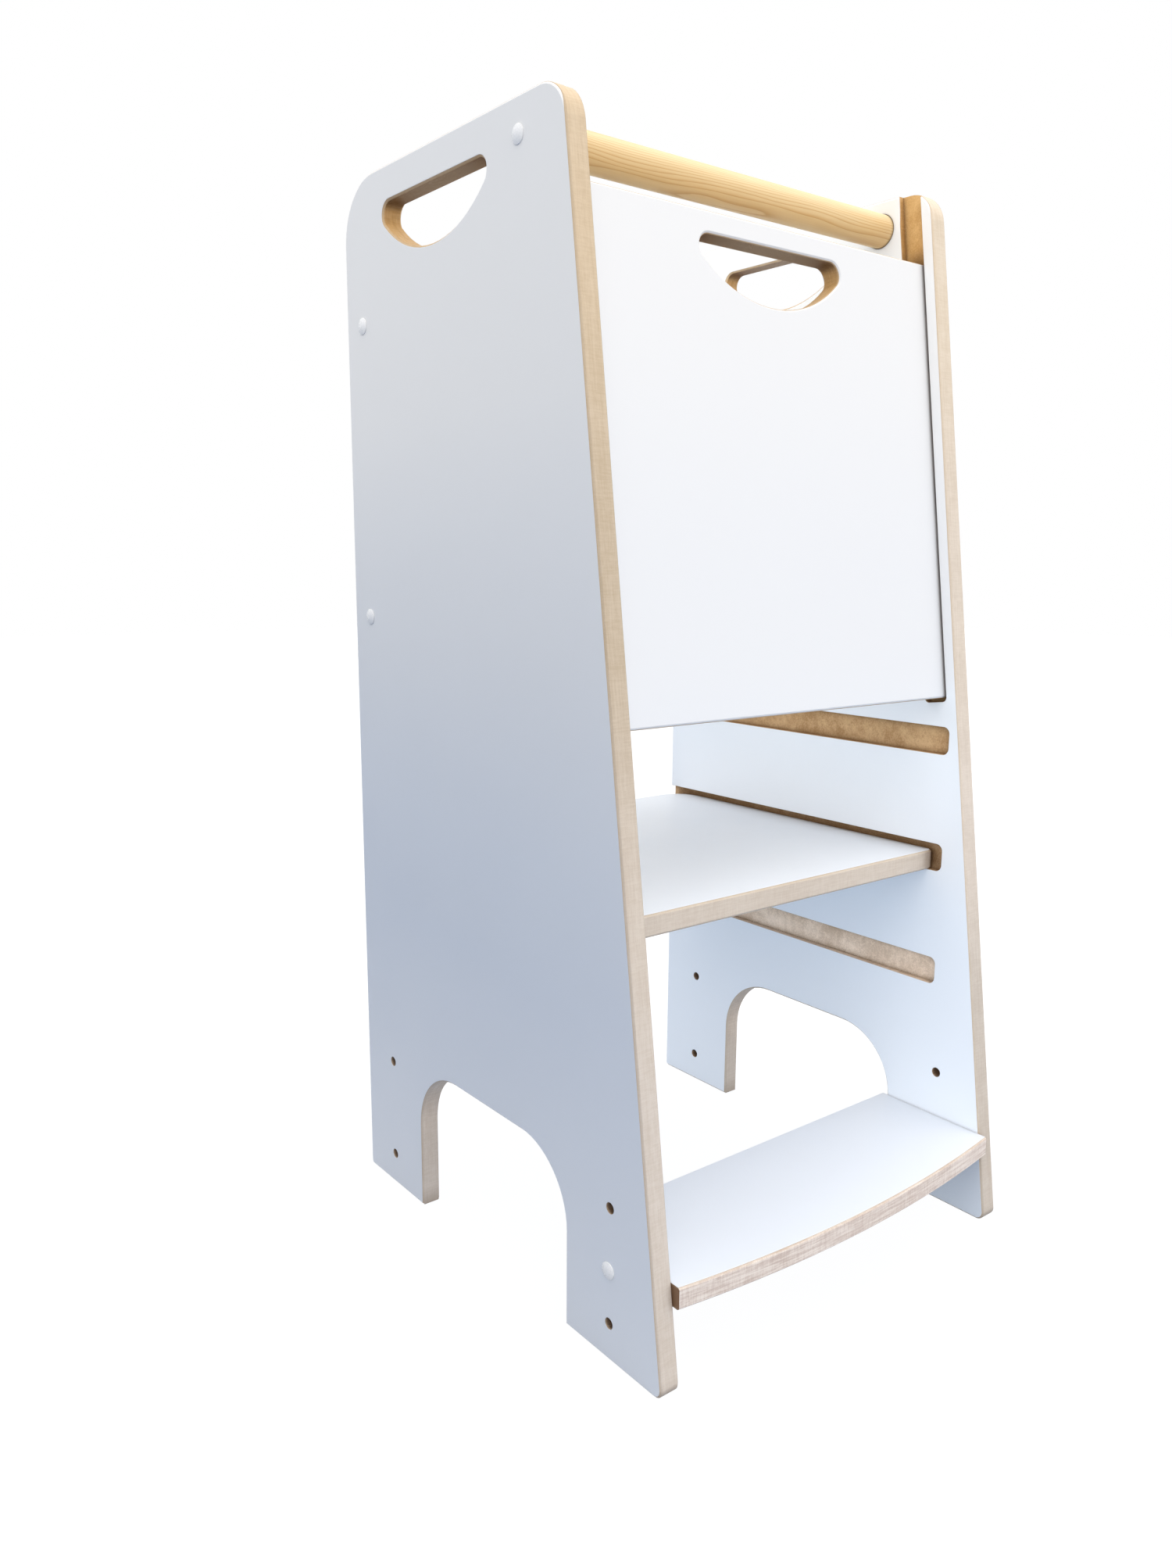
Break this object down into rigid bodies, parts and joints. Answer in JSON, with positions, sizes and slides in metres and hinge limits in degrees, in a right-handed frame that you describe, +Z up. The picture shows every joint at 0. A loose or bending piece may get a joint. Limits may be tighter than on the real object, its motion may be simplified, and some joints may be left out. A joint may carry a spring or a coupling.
{
  "type": "toddler kitchen helper stool",
  "caption": "Child's standing tower with raked side panels, a low step, a platform in stopped grooves, a lift-out front guard, a back panel and a round rail.",
  "frame": {"origin": "on the floor, under the middle of the whole object's box", "axes": "+Z up, -Y towards the front with the step, +X to the right of someone who faces +Y"},
  "size_m": [0.416, 0.4494, 0.91],
  "materials": {
    "board": "white-faced board with golden raw edges, satin lacquer",
    "pine": "clear satin lacquer on turned pine",
    "beech": "plain unlacquered beech",
    "cap": "white moulded cap, soft gloss",
    "steel": "bright zinc plated"
  },
  "bodies": {
    "frame": {"side_panel_left": "board", "side_panel_right": "board", "back_panel": "board", "step_board": "board", "handrail": "pine", "handrail_screw_left": "steel", "back_panel_screws_left": "steel", "step_screw_left": "steel", "handrail_screw_right": "steel", "back_panel_screws_right": "steel", "step_screw_right": "steel", "handrail_cap_left": "cap", "back_panel_caps_left": "cap", "step_cap_left": "cap", "handrail_cap_right": "cap", "back_panel_caps_right": "cap", "step_cap_right": "cap", "step_dowels_left": "beech", "back_panel_dowels_left": "beech", "step_dowels_right": "beech", "back_panel_dowels_right": "beech"},
    "guard": {"guard_panel": "board"},
    "platform": {"standing_platform": "board"}
  },
  "joints": [
    {"name": "guard_lift", "type": "slide", "parent": "frame", "child": "guard", "axis": [0, 0.1329, 0.9911], "range_m": [0, 0.45]},
    {"name": "platform_slide", "type": "slide", "parent": "frame", "child": "platform", "axis": [0, 1, 0], "range_m": [-0.0085, 0.36]}
  ]
}
